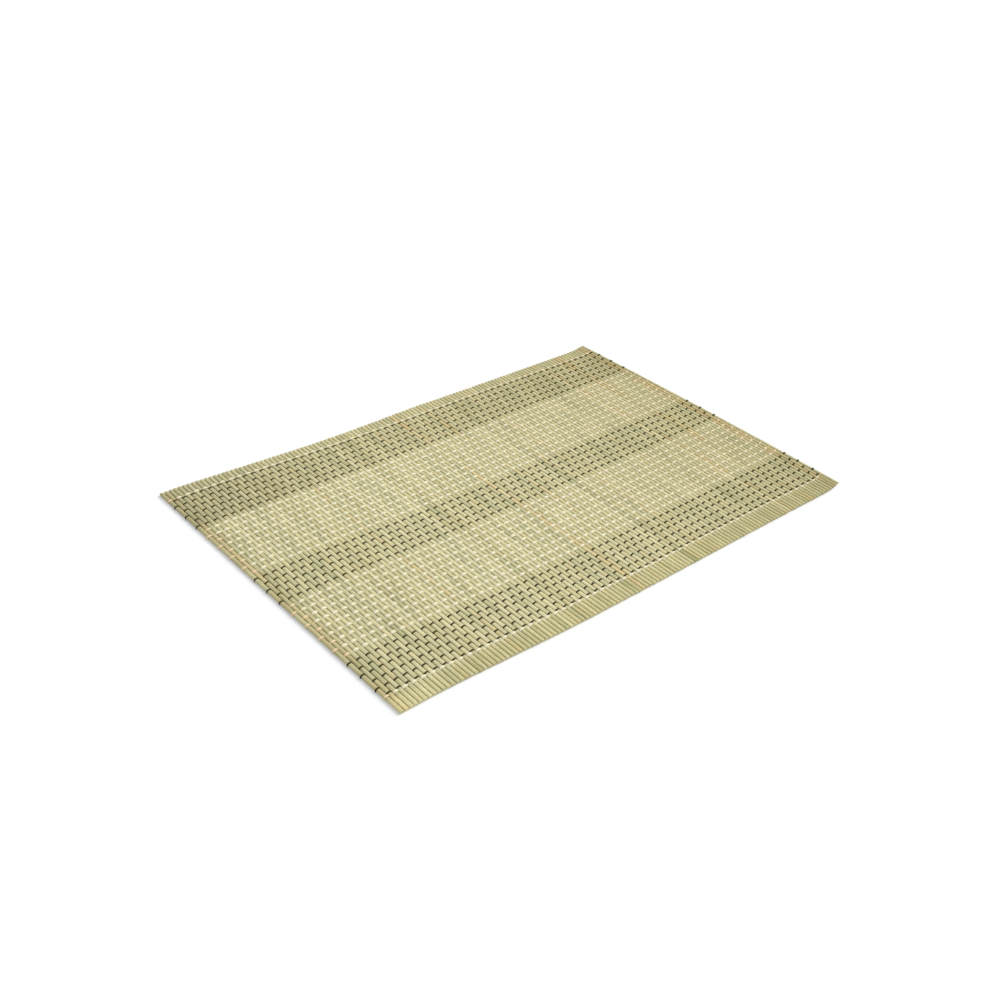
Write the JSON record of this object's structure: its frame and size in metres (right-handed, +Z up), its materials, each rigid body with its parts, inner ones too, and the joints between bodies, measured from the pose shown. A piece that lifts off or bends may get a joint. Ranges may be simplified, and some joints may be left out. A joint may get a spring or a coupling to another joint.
{
  "type": "bamboo rolling mat",
  "caption": "Flat mat of thin bamboo slats woven side by side on rows of dark and light thread; it lies flat on a table or rolls up across its slats.",
  "frame": {"origin": "on the table, under the middle of the mat lying flat", "axes": "+X across the slats, from the end that becomes the core of the roll to the outer end; +Y along the slats, to the back; +Z up"},
  "size_m": [0.4506, 0.3, 0.0025],
  "materials": {
    "bamboo": "matt split bamboo, pale yellow-green",
    "light_thread": "cream cotton thread",
    "dark_thread": "near-black olive cotton thread"
  },
  "bodies": {
    "segment_01": {"slats_01": "bamboo", "threads_01": "light_thread"},
    "segment_02": {"slats_02": "bamboo", "threads_02": "light_thread"},
    "segment_03": {"slats_03": "bamboo", "threads_03": "light_thread"},
    "segment_04": {"slats_04": "bamboo", "threads_04": "light_thread"},
    "segment_05": {"slats_05": "bamboo", "threads_05": "light_thread"},
    "segment_06": {"slats_06": "bamboo", "threads_06": "light_thread"},
    "segment_07": {"slats_07": "bamboo", "threads_07": "light_thread"},
    "segment_08": {"slats_08": "bamboo", "threads_08": "light_thread"},
    "segment_09": {"slats_09": "bamboo", "threads_09": "light_thread"},
    "segment_10": {"slats_10": "bamboo", "threads_10": "light_thread"},
    "segment_11": {"slats_11": "bamboo", "threads_11": "light_thread"},
    "segment_12": {"slats_12": "bamboo", "threads_12": "light_thread"},
    "segment_13": {"slats_13": "bamboo", "threads_13": "light_thread"},
    "segment_14": {"slats_14": "bamboo", "threads_14": "light_thread"},
    "segment_15": {"slats_15": "bamboo", "threads_15": "light_thread"},
    "segment_16": {"slats_16": "bamboo", "threads_16": "light_thread"},
    "segment_17": {"slats_17": "bamboo", "threads_17": "light_thread"},
    "segment_18": {"slats_18": "bamboo", "threads_18": "light_thread"},
    "segment_19": {"slats_19": "bamboo", "threads_19": "light_thread"},
    "segment_20": {"slats_20": "bamboo", "threads_20": "light_thread"},
    "segment_21": {"slats_21": "bamboo", "threads_21": "light_thread"},
    "segment_22": {"slats_22": "bamboo", "threads_22": "light_thread"},
    "segment_23": {"slats_23": "bamboo", "threads_23": "light_thread"},
    "segment_24": {"slats_24": "bamboo", "threads_24": "light_thread"},
    "segment_25": {"slats_25": "bamboo", "threads_25": "light_thread"},
    "segment_26": {"slats_26": "bamboo", "threads_26": "light_thread"},
    "segment_27": {"slats_27": "bamboo", "threads_27": "light_thread"},
    "segment_28": {"slats_28": "bamboo", "threads_28": "light_thread"},
    "segment_29": {"slats_29": "bamboo", "threads_29": "light_thread"}
  },
  "joints": [
    {"name": "bend_01", "type": "hinge", "parent": "segment_02", "child": "segment_01", "pos_m": [-0.21762, 0, 0.002], "axis": [0, 1, 0], "range_deg": [0, 53.55]},
    {"name": "bend_02", "type": "hinge", "parent": "segment_03", "child": "segment_02", "pos_m": [-0.21018, 0, 0.002], "axis": [0, 1, 0], "range_deg": [0, 48.77]},
    {"name": "bend_03", "type": "hinge", "parent": "segment_04", "child": "segment_03", "pos_m": [-0.20274, 0, 0.002], "axis": [0, 1, 0], "range_deg": [0, 45.11]},
    {"name": "bend_04", "type": "hinge", "parent": "segment_05", "child": "segment_04", "pos_m": [-0.1953, 0, 0.002], "axis": [0, 1, 0], "range_deg": [0, 53.07]},
    {"name": "bend_05", "type": "hinge", "parent": "segment_06", "child": "segment_05", "pos_m": [-0.18414, 0, 0.002], "axis": [0, 1, 0], "range_deg": [0, 59.52]},
    {"name": "bend_06", "type": "hinge", "parent": "segment_07", "child": "segment_06", "pos_m": [-0.17298, 0, 0.002], "axis": [0, 1, 0], "range_deg": [0, 55]},
    {"name": "bend_07", "type": "hinge", "parent": "segment_08", "child": "segment_07", "pos_m": [-0.16182, 0, 0.002], "axis": [0, 1, 0], "range_deg": [0, 51.4]},
    {"name": "bend_08", "type": "hinge", "parent": "segment_09", "child": "segment_08", "pos_m": [-0.15066, 0, 0.002], "axis": [0, 1, 0], "range_deg": [0, 48.44]},
    {"name": "bend_09", "type": "hinge", "parent": "segment_10", "child": "segment_09", "pos_m": [-0.1395, 0, 0.002], "axis": [0, 1, 0], "range_deg": [0, 53.97]},
    {"name": "bend_10", "type": "hinge", "parent": "segment_11", "child": "segment_10", "pos_m": [-0.12462, 0, 0.002], "axis": [0, 1, 0], "range_deg": [0, 58.7]},
    {"name": "bend_11", "type": "hinge", "parent": "segment_12", "child": "segment_11", "pos_m": [-0.10974, 0, 0.002], "axis": [0, 1, 0], "range_deg": [0, 55.35]},
    {"name": "bend_12", "type": "hinge", "parent": "segment_13", "child": "segment_12", "pos_m": [-0.09486, 0, 0.002], "axis": [0, 1, 0], "range_deg": [0, 52.53]},
    {"name": "bend_13", "type": "hinge", "parent": "segment_14", "child": "segment_13", "pos_m": [-0.07998, 0, 0.002], "axis": [0, 1, 0], "range_deg": [0, 50.11]},
    {"name": "bend_14", "type": "hinge", "parent": "segment_15", "child": "segment_14", "pos_m": [-0.0651, 0, 0.002], "axis": [0, 1, 0], "range_deg": [0, 48]},
    {"name": "bend_15", "type": "hinge", "parent": "segment_16", "child": "segment_15", "pos_m": [-0.05022, 0, 0.002], "axis": [0, 1, 0], "range_deg": [0, 46.15]},
    {"name": "bend_16", "type": "hinge", "parent": "segment_17", "child": "segment_16", "pos_m": [-0.03534, 0, 0.002], "axis": [0, 1, 0], "range_deg": [0, 50.32]},
    {"name": "bend_17", "type": "hinge", "parent": "segment_18", "child": "segment_17", "pos_m": [-0.01674, 0, 0.002], "axis": [0, 1, 0], "range_deg": [0, 54.07]},
    {"name": "bend_18", "type": "hinge", "parent": "segment_19", "child": "segment_18", "pos_m": [0.00186, 0, 0.002], "axis": [0, 1, 0], "range_deg": [0, 51.94]},
    {"name": "bend_19", "type": "hinge", "parent": "segment_20", "child": "segment_19", "pos_m": [0.02046, 0, 0.002], "axis": [0, 1, 0], "range_deg": [0, 50.04]},
    {"name": "bend_20", "type": "hinge", "parent": "segment_21", "child": "segment_20", "pos_m": [0.03906, 0, 0.002], "axis": [0, 1, 0], "range_deg": [0, 48.34]},
    {"name": "bend_21", "type": "hinge", "parent": "segment_22", "child": "segment_21", "pos_m": [0.05766, 0, 0.002], "axis": [0, 1, 0], "range_deg": [0, 46.81]},
    {"name": "bend_22", "type": "hinge", "parent": "segment_23", "child": "segment_22", "pos_m": [0.07626, 0, 0.002], "axis": [0, 1, 0], "range_deg": [0, 45.41]},
    {"name": "bend_23", "type": "hinge", "parent": "segment_24", "child": "segment_23", "pos_m": [0.09486, 0, 0.002], "axis": [0, 1, 0], "range_deg": [0, 44.14]},
    {"name": "bend_24", "type": "hinge", "parent": "segment_25", "child": "segment_24", "pos_m": [0.11346, 0, 0.002], "axis": [0, 1, 0], "range_deg": [0, 47.46]},
    {"name": "bend_25", "type": "hinge", "parent": "segment_26", "child": "segment_25", "pos_m": [0.13578, 0, 0.002], "axis": [0, 1, 0], "range_deg": [0, 50.53]},
    {"name": "bend_26", "type": "hinge", "parent": "segment_27", "child": "segment_26", "pos_m": [0.1581, 0, 0.002], "axis": [0, 1, 0], "range_deg": [0, 49.06]},
    {"name": "bend_27", "type": "hinge", "parent": "segment_28", "child": "segment_27", "pos_m": [0.18042, 0, 0.002], "axis": [0, 1, 0], "range_deg": [0, 47.72]},
    {"name": "bend_28", "type": "hinge", "parent": "segment_29", "child": "segment_28", "pos_m": [0.20274, 0, 0.002], "axis": [0, 1, 0], "range_deg": [0, 46.48]}
  ]
}
